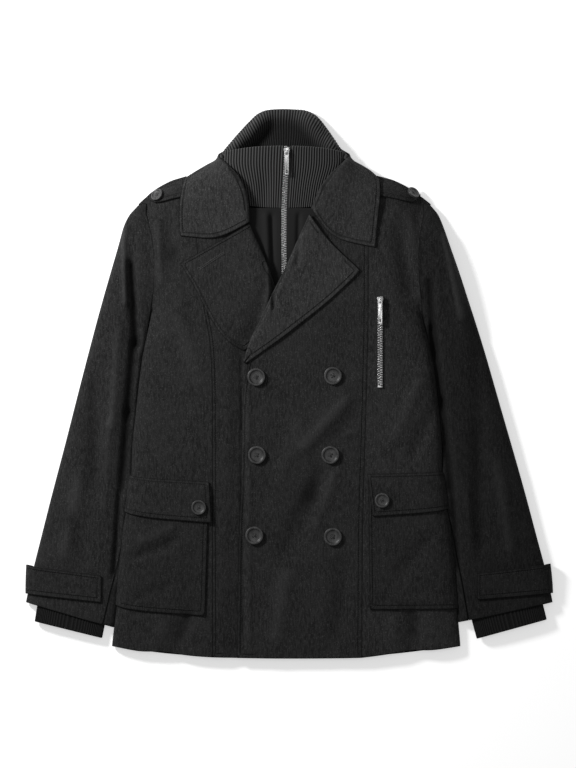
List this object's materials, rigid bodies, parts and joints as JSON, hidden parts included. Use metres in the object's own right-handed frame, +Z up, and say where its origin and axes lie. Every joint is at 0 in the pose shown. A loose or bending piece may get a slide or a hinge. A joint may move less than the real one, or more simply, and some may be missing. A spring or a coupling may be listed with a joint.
{
  "type": "pea coat",
  "caption": "Double-breasted wool pea coat laid flat, with a zipped inner bib, a rib-knit funnel collar, flapped patch pockets, epaulettes, cuff straps and knitted storm cuffs.",
  "frame": {"origin": "on the floor under the middle of the coat's box", "axes": "+X to the wearer's left, +Y from the hem to the collar, +Z up off the floor"},
  "size_m": [0.8294, 0.8606, 0.0485],
  "materials": {
    "wool": "brushed wool melton, charcoal with paler flecks",
    "bib_cloth": "smooth dark cloth",
    "rib_knit": "ribbed wool knit, near black",
    "button": "polished, horn-like",
    "zip": "nickel"
  },
  "bodies": {
    "coat": {"back": "wool", "side_front_r": "wool", "side_front_l": "wool", "centre_front_r": "wool", "centre_front_l": "wool", "lapel_r": "wool", "lapel_l": "wool", "collar": "wool", "top_sleeve_r": "wool", "top_sleeve_l": "wool", "under_sleeve_r": "wool", "under_sleeve_l": "wool", "cuff_strap_r": "wool", "cuff_strap_l": "wool", "pocket_r": "wool", "pocket_l": "wool", "flap_r": "wool", "flap_l": "wool", "epaulette_r": "wool", "epaulette_l": "wool", "bib_r": "bib_cloth", "bib_l": "bib_cloth", "rib_collar": "rib_knit", "storm_cuff_r": "rib_knit", "storm_cuff_l": "rib_knit", "button_r1": "button", "button_r2": "button", "button_r3": "button", "button_l1": "button", "button_l2": "button", "button_l3": "button", "flap_button_r": "button", "flap_button_l": "button", "epaulette_button_r": "button", "epaulette_button_l": "button", "neck_zip": "zip", "neck_slider": "zip", "chest_zip": "zip", "chest_slider": "zip"},
    "neck_tab": {"neck_pull": "zip"},
    "chest_tab": {"chest_pull": "zip"}
  },
  "joints": [
    {"name": "neck_tab_swing", "type": "hinge", "parent": "coat", "child": "neck_tab", "pos_m": [-0.00386, 0.36234, 0.0456], "axis": [-1, 0, 0], "range_deg": [0, 150]},
    {"name": "chest_tab_swing", "type": "hinge", "parent": "coat", "child": "chest_tab", "pos_m": [0.14244, 0.13022, 0.03467], "axis": [-1, 0, 0], "range_deg": [0, 150]}
  ]
}
